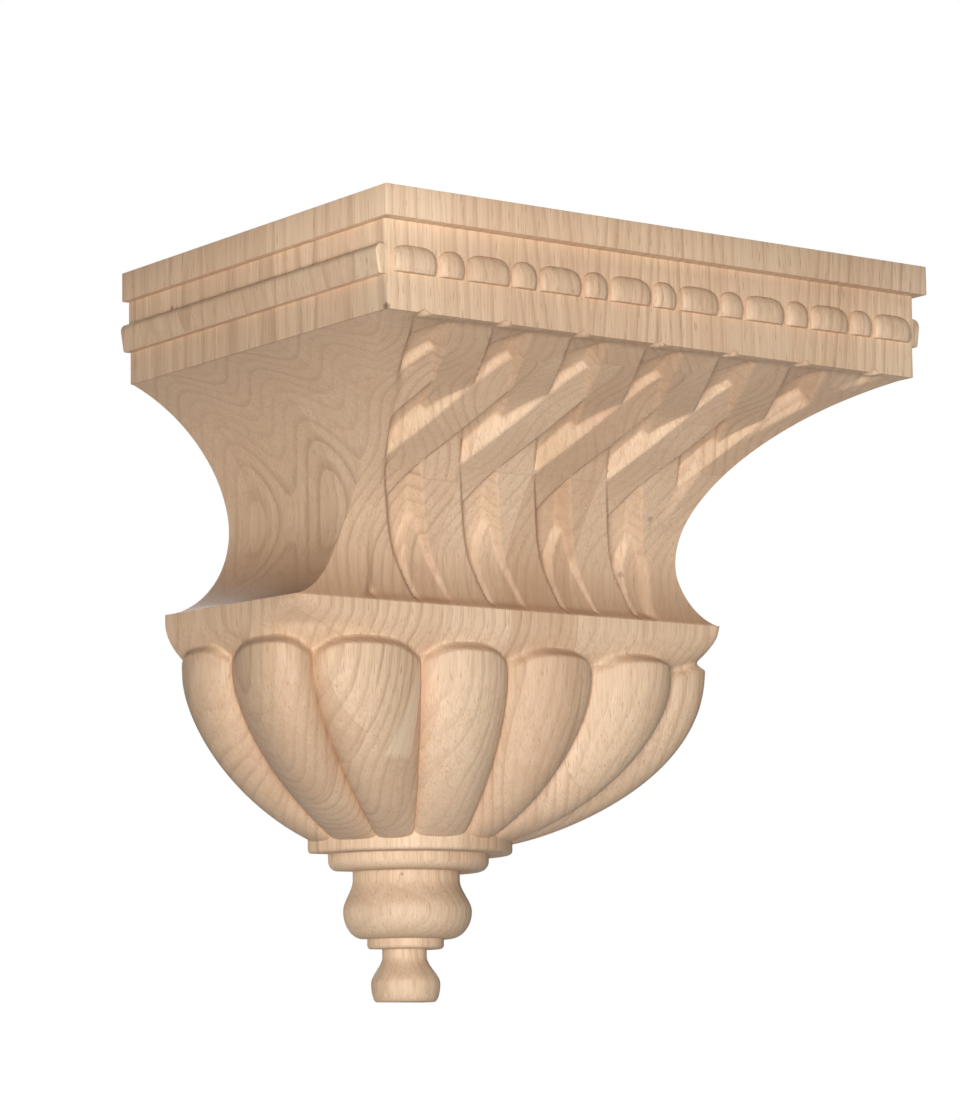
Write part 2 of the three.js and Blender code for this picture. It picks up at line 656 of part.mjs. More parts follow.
function turning() {
  const v = (radius, height) => new THREE.Vector2(radius, height);
  const edge = TURNED_EDGE;
  const profile = [
    v(0, 0),
    v(BASE_RADIUS, 0),
    ...arc(BASE_RADIUS, 0, DROP_RADIUS, DROP_HEIGHT, 3),
    ...ogee(DROP_RADIUS, DROP_HEIGHT, WAIST_RADIUS, WAIST_HEIGHT, 5),
    v(WAIST_RADIUS, SMALL_RING_FOOT_HEIGHT),
    v(SMALL_RING_RADIUS - edge, SMALL_RING_FOOT_HEIGHT),
    v(SMALL_RING_RADIUS, SMALL_RING_FOOT_HEIGHT + edge),
    v(SMALL_RING_RADIUS, SMALL_RING_HEAD_HEIGHT),
    v(BULB_FOOT_RADIUS, SMALL_RING_HEAD_HEIGHT),
    ...arc(BULB_FOOT_RADIUS, SMALL_RING_HEAD_HEIGHT, BULB_RADIUS, BULB_HEIGHT, 5),
    ...ogee(BULB_RADIUS, BULB_HEIGHT, NECK_RADIUS, NECK_HEIGHT, 6),
    v(NECK_RADIUS, FILLET_RING_FOOT_HEIGHT),
    v(FILLET_RING_RADIUS - FILLET_RING_ROUND, FILLET_RING_FOOT_HEIGHT),
    ...arc(
      FILLET_RING_RADIUS - FILLET_RING_ROUND,
      FILLET_RING_FOOT_HEIGHT,
      FILLET_RING_RADIUS,
      FILLET_RING_FOOT_HEIGHT + FILLET_RING_ROUND,
      4,
    ),
    v(FILLET_RING_RADIUS, COLLAR_FOOT_HEIGHT),
    v(COLLAR_RADIUS - edge, COLLAR_FOOT_HEIGHT),
    v(COLLAR_RADIUS, COLLAR_FOOT_HEIGHT + edge),
    v(COLLAR_RADIUS, COLLAR_FOOT_HEIGHT + COLLAR_HEIGHT),
    v(0, COLLAR_FOOT_HEIGHT + COLLAR_HEIGHT),
  ];
  const lathe = new THREE.LatheGeometry(profile, TURNING_SEGMENTS);
  lathe.rotateX(Math.PI / 2);
  lathe.translate(0, -AXIS_SETBACK, 0);
  const room = 2 * COLLAR_RADIUS + 2 * OVERLAP;
  const keep = new THREE.BoxGeometry(room, room, HEIGHT);
  keep.translate(0, -room / 2, HEIGHT / 4);
  return toSolid(lathe).intersect(toSolid(keep));
}

// The whole corbel, carved from one block
function corbel() {
  const parts = [
    slab(WIDTH / 2 - FASCIA_SIDE_INSET, DEPTH, fasciaFoot, HEIGHT),
    slab(fieldHalfWidth, fieldFront, beadBandFoot, fasciaFoot + OVERLAP),
    sideBand(1),
    sideBand(-1),
    ...beadRow(),
    wovenSlab().intersect(sidePrism()),
    bowl(),
    turning(),
  ];
  return toGeometry(parts.reduce((whole, part) => whole.add(part)));
}

const mesh = new THREE.Mesh(corbel(), material);
mesh.name = 'corbel';
mesh.position.z = -HEIGHT / 2;

const group = new THREE.Group();
group.add(mesh);
export default group;
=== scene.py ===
# Carved wood corbel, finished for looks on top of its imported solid.
# +X is right as seen from the front, +Y goes into the wall and +Z is up. Sizes are written in
# millimetres, with heights measured from the foot of the finial as in the solid's own source.
# A mesh is turned into metres, and lowered by half the height, when it is made.

import math

import bpy
import numpy as np
from mathutils import Matrix, Vector


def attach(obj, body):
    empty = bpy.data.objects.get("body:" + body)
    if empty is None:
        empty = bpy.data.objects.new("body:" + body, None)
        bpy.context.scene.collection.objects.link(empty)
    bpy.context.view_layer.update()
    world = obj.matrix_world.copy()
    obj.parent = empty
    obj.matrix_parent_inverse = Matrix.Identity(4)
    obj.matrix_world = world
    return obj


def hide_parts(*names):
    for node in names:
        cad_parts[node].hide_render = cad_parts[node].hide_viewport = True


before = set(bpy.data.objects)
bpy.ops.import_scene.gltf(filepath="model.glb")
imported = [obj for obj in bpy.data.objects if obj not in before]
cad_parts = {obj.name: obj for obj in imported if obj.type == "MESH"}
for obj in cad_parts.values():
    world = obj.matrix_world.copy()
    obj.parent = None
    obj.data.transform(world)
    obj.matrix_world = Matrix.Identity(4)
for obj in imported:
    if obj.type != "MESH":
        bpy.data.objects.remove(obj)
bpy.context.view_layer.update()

# Overall size
WIDTH = 209.55
DEPTH = 146.05
HEIGHT = 228.6

# Top block, from the top down
FASCIA_HEIGHT = 9.25
RECESS_HEIGHT = 7.2
BEAD_BAND_HEIGHT = 8.95
LOWER_BAND_HEIGHT = 10.05
FASCIA_SIDE_INSET = 0.5
FIELD_SIDE_INSET = 3
FIELD_FRONT_INSET = 4.2
LOWER_SIDE_INSET = 3.6
SIDE_BAND_FOOT_PROUD = 2
SIDE_BAND_ROUND = 2.4
EASED_EDGE = 0.35

# Bead and reel row on the front
BEAD_COUNT = 8
BEAD_LENGTH = 15.2
REEL_LENGTH = 9.2
BEAD_TALL = 8.1
BEAD_LIFT = 0.9
BEAD_AXIS_SHARE = 0.35
BEAD_PROUD = 2.6
BEAD_END_MARGIN = 1.6
BEAD_SQUARENESS_POWER = 3.4
REEL_SQUARENESS_POWER = 2.4

# Cove between the block and the rim of the bowl
COVE_LIP = 0.8
THROAT_HALF_WIDTH = 64.75
THROAT_DEPTH = 63.6
SIDE_THROAT_HEIGHT = 149.1
FRONT_THROAT_HEIGHT = 135.4
SIDE_COVE_HEAD_RISE_SHARE = 1.0965
SIDE_COVE_HEAD_POWER = 1.8
SIDE_COVE_FOOT_RISE_SHARE = 1.0141
FRONT_COVE_HEAD_RISE_SHARE = 1.0113
FRONT_COVE_HEAD_POWER = 1.6
FRONT_COVE_FOOT_RISE_SHARE = 1.712
COVE_FOOT_POWER = 2

# Rim of the bowl
RIM_HEIGHT = 120.8
RIM_BACK_HALF_WIDTH = 88.6
RIM_FRONT_HALF_WIDTH = 83
RIM_DEPTH = 65.8
RIM_LEDGE = 0.5

# Basket weave on the front of the cove
WEAVE_PITCH = 28.7
WEAVE_ROW_STEP = 32.6
WEAVE_FIRST_ROW = 21.6
WEAVE_SIDE_SHIFT = -1.3
RIBBON_WIDTH = 14.35
RIBBON_DIP = 3
PIT_DEPTH = 5
PIT_WALL = 3.6
WEAVE_MARGIN = 7.6
WEAVE_RIM_MARGIN = 14
WEAVE_FADE = 3.8
WEAVE_HEAD_FADE = 8
WEAVE_FOOT_FADE = 3.4
WEAVE_NOTCH_HEIGHT = 2
WEAVE_SWEEP = 9
WEAVE_STRETCH = 16
WEAVE_SWEEP_LENGTH = 30

# Lobed bowl
BAND_HEAD_DROP = 2.4
BAND_FOOT_HEIGHT = 105.8
LEFT_BAND_CORNER_DROP = 8
RIGHT_BAND_CORNER_DROP = 36.6
BAND_CURVE_POWER = 2.06
LOBE_VALLEY_TOP = 100.3
LOBE_CREST_TOP = 110.6
LOBE_FULL_HEIGHT = 110.2
LOBE_TIP_HEIGHT = 5.2
LOBE_TIP_POWER = 3
LOBE_SWELL_HEIGHT = 4
VALLEY_BACK_HALF_WIDTH = 80.9
VALLEY_FRONT_HALF_WIDTH = 81.4
VALLEY_DEPTH = 60.5
VALLEY_FALL_POWER = 1.71
VALLEY_FULLNESS_POWER = 1.03
CREST_BACK_HALF_WIDTH = 88.5
CREST_FRONT_HALF_WIDTH = 86.4
CREST_DEPTH = 69.1
CREST_FALL_POWER = 2.35
CREST_FULLNESS_POWER = 0.75
BOWL_CORNER_POWER = 7.45
LOBE_ROUNDNESS_POWER = 0.65
FRONT_LOBE_SHARE = 0.406
LEFT_CORNER_LOBE_SHARE = 0.924
RIGHT_CORNER_LOBE_SHARE = 0.824
WALL_LOBE_SHARE = 0.547
LEFT_FRONT_TURN_SHARE = 0.307
RIGHT_FRONT_TURN_SHARE = 0.203
CORNER_TURN_SHARE = 0.51
WALL_TURN_SHARE = 0.799
FOOT_HEIGHT = 50.3
FOOT_RADIUS = 32.5

# Turned rings and finial, which are a little more than half round
AXIS_SETBACK = 2.67
COLLAR_RADIUS = 35.5
COLLAR_FOOT_HEIGHT = 47.2
COLLAR_HEIGHT = 6.8
TURNED_EDGE = 1.2
FILLET_RING_RADIUS = 27.8
FILLET_RING_FOOT_HEIGHT = 41.8
FILLET_RING_ROUND = 3.4
NECK_RADIUS = 18.3
NECK_HEIGHT = 39.1
BULB_RADIUS = 22.1
BULB_HEIGHT = 29
BULB_FOOT_RADIUS = 14.6
SMALL_RING_RADIUS = 12.9
SMALL_RING_HEAD_HEIGHT = 20.2
SMALL_RING_FOOT_HEIGHT = 17
WAIST_RADIUS = 7.3
WAIST_HEIGHT = 14.6
DROP_RADIUS = 11.6
DROP_HEIGHT = 5.9
BASE_RADIUS = 9.5

# Wood. Strips are glued side by side across X, in layers behind each other along Y.
STRIP_WIDTH = 26.4
STRIP_SEAM = -81
LAYER_DEPTH = 47
RING_SPACING = 4.2
ROLL_HEIGHT = 4.6
ROLL_LENGTH = 42
ROLL_CREST = 59
OUTER_STRIP = -56
LEAN_SHARE = 0.14
CROSSING_SHARE = 0.7
WANDER = 11
STRIP_CHANGE = 10

# Cells of noise a metre along X, Y and Z
STREAK_GRAIN = (420, 420, 9)
FIBRE_GRAIN = (1500, 1500, 40)
PORE_GRAIN = (1700, 1700, 170)
CLOUD_GRAIN = (38, 38, 12)
BLUSH_GRAIN = (70, 70, 9)
BEND_GRAIN = (9, 9, 6)
RIPPLE_GRAIN = (90, 90, 60)

# Colours of the wood
WOOD_PALE = (0.80, 0.58, 0.385, 1)
WOOD_CREAM = (0.86, 0.66, 0.46, 1)
WOOD_TAN = (0.70, 0.475, 0.30, 1)
WOOD_PINK = (0.74, 0.47, 0.32, 1)
WOOD_RING = (0.50, 0.33, 0.215, 1)
WOOD_DARK = (0.48, 0.29, 0.17, 1)
WOOD_PORE = (0.34, 0.16, 0.08, 1)
WOOD_KNOT = (0.16, 0.07, 0.04, 1)
# The next colour darkens end grain, and on faces turned up it also paints shade
WOOD_END_GRAIN_AND_SHADE = (0.50, 0.32, 0.20, 1)
WOOD_PALE_PATCH = (0.90, 0.72, 0.52, 1)
# The next colour is painted shade in the corner above the rim, partly darker wood
WOOD_PAINTED_SHADE = (0.36, 0.20, 0.11, 1)

# The painted shade in the corner above the rim, the pale patch, and the knots as place, radius and strength
PAINTED_SHADE_RISE = 26
PAINTED_SHADE_SHARE = 0.75
PALE_PATCH_SLANT = 0.35
PALE_PATCH_LEFT = -32.5
PALE_PATCH_RIGHT = -34.5
PALE_PATCH_BACK = -45
PALE_PATCH_FOOT = -41.5
PALE_PATCH_HEAD = -4
PALE_PATCH_SHARE = 0.5
KNOTS = (
    ((-104, -36, 103), 1.2, 0.8),
    ((-101.8, -25.9, 98.9), 1, 0.6),
    ((-101.2, -141.2, 79.5), 1.6, 0.75),
    ((-10.9, -17.4, -73.9), 0.8, 0.5),
    ((50.1, -71.4, 38.7), 1.6, 0.35),
    ((46, -60.5, 21.5), 1.4, 0.4),
)

# Fineness of the meshes
NECK_COLUMNS = 260
NECK_ROWS = 170
NECK_SIDE_STEPS = 24
SEGMENTS_PER_LOBE = 26
BAND_ROWS = 10
TIP_ROWS = 20
LOBE_ROWS = 56
TURNING_SEGMENTS = 90
OVERLAP = 5
SHARP_ANGLE = 38

# Camera, in degrees, millimetres of lens and metres
CAMERA_YAW = 36.22
CAMERA_PITCH = 7.86
CAMERA_ROLL = -0.73
CAMERA_LENS = 122.9
CAMERA_PLACE = (-0.7135, -1.0211, -0.1420)

# Floor and lights, in metres and watts: name, place, size, power and what it is turned to
FLOOR_LEVEL = -1.6
FLOOR_HALF_SIDE = 6
WORLD_FILL = 0.14
LIGHTS = (
    ("key", (-0.84, -1.12, -0.2), 0.6, 19.6, (0, -0.06, 0)),
    ("behind", (0.6, 1.35, 0.6), 1, 20, (0, -0.06, 0.03)),
    ("beside", (1.2, 0.6, 1.1), 1, 12, (0, -0.06, 0.03)),
)

# Heights and plan sizes worked out from the values above
fascia_foot = HEIGHT - FASCIA_HEIGHT
recess_foot = fascia_foot - RECESS_HEIGHT
bead_band_foot = recess_foot - BEAD_BAND_HEIGHT
cove_head = bead_band_foot - LOWER_BAND_HEIGHT
field_half_width = WIDTH / 2 - FIELD_SIDE_INSET
lower_half_width = WIDTH / 2 - LOWER_SIDE_INSET
field_front = DEPTH - FIELD_FRONT_INSET


# Small helpers for shapes
def lerp(a, b, share):
    return a + (b - a) * share


def smoothstep(value, low, high):
    share = np.clip((value - low) / (high - low), 0, 1)
    return share * share * (3 - 2 * share)


def new_piece(name, points, faces):
    """A mesh object from points in millimetres, with its place in its mesh."""
    mesh = bpy.data.meshes.new(name)
    placed = np.asarray(points, float) * 0.001
    placed[:, 2] -= HEIGHT / 2000
    mesh.from_pydata(placed.tolist(), [], faces)
    mesh.update()
    piece = bpy.data.objects.new(name, mesh)
    bpy.context.scene.collection.objects.link(piece)
    return piece


def skin(name, rings):
    """A closed skin through rings of equal count, with a flat face at each end."""
    rings = np.asarray(rings, float)
    rows, count = rings.shape[:2]
    faces = []
    for i in range(rows - 1):
        for j in range(count):
            k = (j + 1) % count
            faces.append((i * count + j, (i + 1) * count + j, (i + 1) * count + k, i * count + k))
    faces.append(list(range(count)))
    faces.append([(rows - 1) * count + j for j in reversed(range(count))])
    return new_piece(name, rings.reshape(-1, 3), faces)


def face_outward(piece):
    """Turns every face round where the closed mesh is inside out."""
    mesh = piece.data
    volume = 0
    for polygon in mesh.polygons:
        volume += polygon.center.dot(polygon.normal) * polygon.area
    if volume < 0:
        mesh.flip_normals()
    return piece


def finished_mesh(piece):
    """The piece's mesh with its modifiers worked in."""
    depsgraph = bpy.context.evaluated_depsgraph_get()
    return bpy.data.meshes.new_from_object(piece.evaluated_get(depsgraph))


# Top block
def slab(name, half_width, front, foot, head):
    """A box with its back on the wall plane and its other edges eased."""
    points = []
    for z in (foot, head):
        points += [(-half_width, 0, z), (-half_width, -front, z), (half_width, -front, z), (half_width, 0, z)]
    faces = [(0, 1, 2, 3), (7, 6, 5, 4), (0, 4, 5, 1), (1, 5, 6, 2), (2, 6, 7, 3), (3, 7, 4, 0)]
    piece = face_outward(new_piece(name, points, faces))
    bevel = piece.modifiers.new("eased edges", "BEVEL")
    bevel.width = EASED_EDGE * 0.001
    bevel.segments = 2
    bevel.limit_method = "NONE"
    eased = finished_mesh(piece)
    piece.modifiers.remove(bevel)
    piece.data = eased
    flat_back = 0.0006
    for vertex in piece.data.vertices:
        if vertex.co.y > -flat_back:
            vertex.co.y = 0
    return piece


def side_band(name, side):
    """The proud band on one side of the block, with its top edge rounded off."""
    root = field_half_width - OVERLAP
    edge = EASED_EDGE
    foot_reach = field_half_width + SIDE_BAND_FOOT_PROUD
    outline = [(root, bead_band_foot), (foot_reach - edge, bead_band_foot), (foot_reach, bead_band_foot + edge)]
    rounds = 10
    for i in range(rounds + 1):
        angle = math.pi / 2 * i / rounds
        outline.append((
            WIDTH / 2 - SIDE_BAND_ROUND * (1 - math.cos(angle)),
            recess_foot - SIDE_BAND_ROUND * (1 - math.sin(angle)),
        ))
    outline.append((root, recess_foot))
    rings = []
    for front, pull in ((0, 0), (field_front - edge, 0), (field_front, edge)):
        middle = (bead_band_foot + recess_foot) / 2
        ring = []
        for x, z in outline:
            inner = x if x == root else x - pull
            ring.append((side * inner, -front, z - math.copysign(pull, z - middle)))
        rings.append(ring)
    return face_outward(skin(name, rings))


# Bead and reel row
def bead(name, length, squareness):
    """One bead with its flat foot at the origin, as a rounded barrel lying along X."""
    rounds = 20
    sides = 40
    axis = BEAD_TALL * BEAD_AXIS_SHARE
    rings = []
    for i in range(1, rounds):
        along = -math.cos(math.pi * i / rounds)
        radius = (1 - abs(along) ** squareness) ** (1 / squareness)
        ring = []
        for j in range(sides):
            angle = 2 * math.pi * j / sides
            rise = axis + radius * (BEAD_TALL - axis) * math.sin(angle)
            ring.append((along * length / 2, radius * BEAD_PROUD * math.cos(angle), max(0, rise) + HEIGHT / 2))
        rings.append(ring)
    return face_outward(skin(name, rings))


def link_chain(tree, links):
    for source, target in links:
        tree.links.new(source, target)


def row_tree():
    """Copies one shape along a straight row: its count, its spacing and its first place are inputs."""
    tree = bpy.data.node_groups.new("carved row", "GeometryNodeTree")
    face = tree.interface
    face.new_socket("Geometry", in_out="INPUT", socket_type="NodeSocketGeometry")
    face.new_socket("Shape", in_out="INPUT", socket_type="NodeSocketObject")
    face.new_socket("Count", in_out="INPUT", socket_type="NodeSocketInt")
    face.new_socket("First place", in_out="INPUT", socket_type="NodeSocketVector")
    face.new_socket("Spacing", in_out="INPUT", socket_type="NodeSocketVector")
    face.new_socket("Finish", in_out="INPUT", socket_type="NodeSocketMaterial")
    face.new_socket("Geometry", in_out="OUTPUT", socket_type="NodeSocketGeometry")
    start = tree.nodes.new("NodeGroupInput")
    line = tree.nodes.new("GeometryNodeMeshLine")
    line.mode = "OFFSET"
    shape = tree.nodes.new("GeometryNodeObjectInfo")
    copies = tree.nodes.new("GeometryNodeInstanceOnPoints")
    real = tree.nodes.new("GeometryNodeRealizeInstances")
    finish = tree.nodes.new("GeometryNodeSetMaterial")
    end = tree.nodes.new("NodeGroupOutput")
    link_chain(tree, [
        (start.outputs["Count"], line.inputs["Count"]),
        (start.outputs["First place"], line.inputs["Start Location"]),
        (start.outputs["Spacing"], line.inputs["Offset"]),
        (start.outputs["Shape"], shape.inputs["Object"]),
        (line.outputs["Mesh"], copies.inputs["Points"]),
        (shape.outputs["Geometry"], copies.inputs["Instance"]),
        (copies.outputs["Instances"], real.inputs["Geometry"]),
        (real.outputs["Geometry"], finish.inputs["Geometry"]),
        (start.outputs["Finish"], finish.inputs["Material"]),
        (finish.outputs["Geometry"], end.inputs["Geometry"]),
    ])
    return tree


def carved_row(name, tree, shape, count, first_place, spacing, finish):
    """A plain mesh object holding the whole row."""
    holder = bpy.data.objects.new(name, bpy.data.meshes.new(name))
    bpy.context.scene.collection.objects.link(holder)
    row = holder.modifiers.new("row", "NODES")
    row.node_group = tree
    values = {
        "Shape": shape, "Count": count, "First place": first_place, "Spacing": spacing, "Finish": finish,
    }
    for item in tree.interface.items_tree:
        if item.in_out == "INPUT" and item.name in values:
            row[item.identifier] = values[item.name]
    mesh = finished_mesh(holder)
    holder.modifiers.remove(row)
    holder.data = mesh
    bpy.data.objects.remove(shape)
    return holder


def bead_rows(finish):
    first = -lower_half_width + BEAD_END_MARGIN + BEAD_LENGTH / 2
    pitch = -2 * first / (BEAD_COUNT - 1)
    height = bead_band_foot + BEAD_LIFT - HEIGHT / 2
    tree = row_tree()
    metre = 0.001
    spacing = (pitch * metre, 0, 0)
    beads = carved_row(
        "beads", tree, bead("bead", BEAD_LENGTH, BEAD_SQUARENESS_POWER), BEAD_COUNT,
        (first * metre, -field_front * metre, height * metre), spacing, finish,
    )
    reels = carved_row(
        "reels", tree, bead("reel", REEL_LENGTH, REEL_SQUARENESS_POWER), BEAD_COUNT - 1,
        ((first + pitch / 2) * metre, -field_front * metre, height * metre), spacing, finish,
    )
    return [beads, reels]


# Cove outlines. Each half of a cove is a quarter of a rounded square with the given power,
# from the throat out to the place that it has to meet. The rise share says how tall the
# quarter is against the height it has to cover.
def quarter(rise, full_rise, power):
    share = np.clip(np.abs(rise) / full_rise, 0, 1)
    return 1 - (1 - share ** power) ** (1 / power)


def cove_reach(height, throat_height, throat, head, foot):
    height = np.asarray(height, float)
    reach = np.empty_like(height)
    for end, chosen in ((head, height > throat_height), (foot, height <= throat_height)):
        end_height, end_reach, rise_share, power = end
        whole_rise = end_height - throat_height
        full_rise = abs(whole_rise) * rise_share
        whole = quarter(whole_rise, full_rise, power)
        part = quarter(height[chosen] - throat_height, full_rise, power)
        reach[chosen] = throat + (end_reach - throat) * part / whole
    return reach


def side_reach(height):
    head = (cove_head, lower_half_width - COVE_LIP, SIDE_COVE_HEAD_RISE_SHARE, SIDE_COVE_HEAD_POWER)
    foot = (RIM_HEIGHT, RIM_BACK_HALF_WIDTH - RIM_LEDGE, SIDE_COVE_FOOT_RISE_SHARE, COVE_FOOT_POWER)
    return cove_reach(height, SIDE_THROAT_HEIGHT, THROAT_HALF_WIDTH, head, foot)


def front_reach(height):
    head = (cove_head, field_front - COVE_LIP, FRONT_COVE_HEAD_RISE_SHARE, FRONT_COVE_HEAD_POWER)
    foot = (RIM_HEIGHT, RIM_DEPTH - RIM_LEDGE, FRONT_COVE_FOOT_RISE_SHARE, COVE_FOOT_POWER)
    return cove_reach(height, FRONT_THROAT_HEIGHT, THROAT_DEPTH, head, foot)


def side_reach_at(height, front):
    """Half width of the side cove. Towards the rim it closes in a little from the wall to the front."""
    reach = side_reach(height)
    splay = (RIM_BACK_HALF_WIDTH - RIM_FRONT_HALF_WIDTH) / (RIM_BACK_HALF_WIDTH - THROAT_HALF_WIDTH)
    closed = THROAT_HALF_WIDTH + (reach - THROAT_HALF_WIDTH) * (1 - splay * front / RIM_DEPTH)
    return np.where(height > SIDE_THROAT_HEIGHT, reach, closed)


def front_track():
    """Heights and fronts down the front outline, with the length measured along it."""
    turn = np.linspace(0, 1, 1200)
    height = cove_head - (cove_head - RIM_HEIGHT) * turn * turn * (3 - 2 * turn)
    front = front_reach(height)
    steps = np.hypot(np.diff(height), np.diff(front))
    return height, front, np.concatenate([[0], np.cumsum(steps)])


track_height, track_front, track_length_at = front_track()
track_length = track_length_at[-1]


def on_track(length):
    """Height, front and outward direction on the front outline, at lengths along it."""
    height = np.interp(length, track_length_at, track_height)
    front = np.interp(length, track_length_at, track_front)
    step = 0.4
    after = np.clip(length + step, 0, track_length)
    before = np.clip(length - step, 0, track_length)
    fall = np.interp(before, track_length_at, track_height) - np.interp(after, track_length_at, track_height)
    out = np.interp(after, track_length_at, track_front) - np.interp(before, track_length_at, track_front)
    span = np.hypot(fall, out)
    return height, front, fall / span, out / span


# Basket weave. Two families of ribbons lean opposite ways, and every row of crossings has the
# same family on top, turn about.
def from_nearest(value, pitch):
    return value - pitch * np.round(value / pitch)


def near_rim(length):
    """The pattern swings to the right and stretches near the rim."""
    past = np.maximum(0, length - (track_length - WEAVE_SWEEP_LENGTH)) / WEAVE_SWEEP_LENGTH
    return past * past


def sweep(length):
    return WEAVE_SWEEP * near_rim(length)


def ribbon_height(offset, wave, dip):
    across = np.maximum(0, np.abs(offset) - RIBBON_WIDTH / 2)
    return -dip * (1 - wave) / 2 - PIT_DEPTH * across / PIT_WALL


def weave_depth(x, length):
    lean = WEAVE_PITCH / 2 / WEAVE_ROW_STEP
    drop = length - WEAVE_STRETCH * near_rim(length) - WEAVE_FIRST_ROW
    wave = np.cos(math.pi * drop / WEAVE_ROW_STEP)
    falling_right = from_nearest(x - WEAVE_SIDE_SHIFT - lean * drop, WEAVE_PITCH)
    falling_left = from_nearest(x - WEAVE_SIDE_SHIFT + lean * drop, WEAVE_PITCH)
    dip = RIBBON_DIP * smoothstep(length, 0, WEAVE_HEAD_FADE)
    right_one = ribbon_height(falling_right, wave, dip)
    left_one = ribbon_height(falling_left, -wave, dip)
    return np.maximum(np.maximum(right_one, left_one), -PIT_DEPTH)


def neck():
    """The lower band and the cove below it, as one closed skin with the weave on its front."""
    length = np.linspace(0, track_length, NECK_ROWS + 1)
    height, front, out_front, out_height = on_track(length)
    half = side_reach_at(height, front)
    back_half = side_reach_at(height, np.zeros_like(height))
    place = np.linspace(-1, 1, NECK_COLUMNS + 1)
    across = half[:, None] * place[None, :]
    row = length[:, None]
    edge = half[:, None] - np.abs(across)
    depth = weave_depth(across - sweep(row), row)
    margin = WEAVE_MARGIN + WEAVE_RIM_MARGIN * near_rim(row)
    depth = depth * smoothstep(edge, margin, margin + WEAVE_FADE)
    depth = depth * smoothstep(track_length - row, 0, WEAVE_FOOT_FADE)
    faces = np.stack([
        across,
        -front[:, None] - depth * out_front[:, None],
        height[:, None] + depth * out_height[:, None],
    ], axis=-1)

    def ring(carved, level, ahead, back_reach, front_at):
        share = np.linspace(0, 1, NECK_SIDE_STEPS + 1)[1:]
        right = np.stack([
            lerp(ahead, back_reach, share), -front_at * (1 - share), np.full_like(share, level),
        ], axis=-1)
        left = right[::-1] * np.array([-1, 1, 1])
        return np.concatenate([left, carved, right])

    def plain(level, half_width, front_at):
        return np.stack([
            half_width * place, np.full_like(place, -front_at), np.zeros_like(place) + level,
        ], axis=-1)

    top = bead_band_foot + OVERLAP
    notched_edge = cove_head - WEAVE_NOTCH_HEIGHT * depth[0] / PIT_DEPTH
    rings = []
    for level, edge_level in ((top, top), (cove_head, notched_edge)):
        carved = plain(edge_level, lower_half_width, field_front)
        rings.append(ring(carved, level, lower_half_width, lower_half_width, field_front))
    for j in range(NECK_ROWS + 1):
        rings.append(ring(faces[j], height[j], half[j], back_half[j], front[j]))
    inner = RIM_BACK_HALF_WIDTH - 2 * OVERLAP
    foot = plain(RIM_HEIGHT - OVERLAP, inner - 2 * OVERLAP, RIM_DEPTH - OVERLAP)
    rings.append(ring(foot, RIM_HEIGHT - OVERLAP, inner - 2 * OVERLAP, inner, RIM_DEPTH - OVERLAP))
    return face_outward(skin("neck", rings))


# Plan outlines of the bowl. A place along one half of an outline runs from 0 at the middle of
# the front, through 1 at the corner, to 2 at the wall. A corner of 0 is sharp.
def corner_plan(place, corner, back_half_width, front_half_width, depth):
    x = np.minimum(place, 1)
    y = np.minimum(2 - place, 1)
    reach = (x ** (1 / corner) + y ** (1 / corner)) ** corner if corner > 0 else 1
    return np.stack([lerp(back_half_width, front_half_width, y / reach) * x / reach, depth * y / reach])


def round_plan(turn, radius):
    angle = turn * (math.pi / 2 + math.asin(AXIS_SETBACK / radius))
    return np.stack([radius * np.sin(angle), np.maximum(0, AXIS_SETBACK + radius * np.cos(angle))])


def lobe_columns(corner_lobe_share, front_turn_share):
    """The columns of one half: place on the plan, turn of the foot and place across the lobe.

    One column of the corner lobe stands on the corner itself."""
    edges = [0, FRONT_LOBE_SHARE, corner_lobe_share, 1 + WALL_LOBE_SHARE, 2]
    turns = [0, front_turn_share, CORNER_TURN_SHARE, WALL_TURN_SHARE, 1]
    columns = []
    for lobe in range(4):
        span = edges[lobe + 1] - edges[lobe]
        even = np.linspace(0, 1, SEGMENTS_PER_LOBE + 1)
        share = lerp(even, (1 - np.cos(math.pi * even)) / 2, 0.5)
        if lobe == 2:
            corner = (1 - edges[2]) / span
            share[np.abs(share - corner).argmin()] = corner
        for part in share[0 if lobe == 0 else 1:]:
            columns.append((edges[lobe] + span * part, lerp(turns[lobe], turns[lobe + 1], part), 2 * part - 1))
    return np.array(columns).T


def bowl_reach(height, top, fall_power, fullness):
    """How far the bowl still stands out, from 1 at its full width to 0 at its foot."""
    fall = np.clip((top - height) / (top - FOOT_HEIGHT), 0, 1)
    return (1 - fall ** fall_power) ** fullness


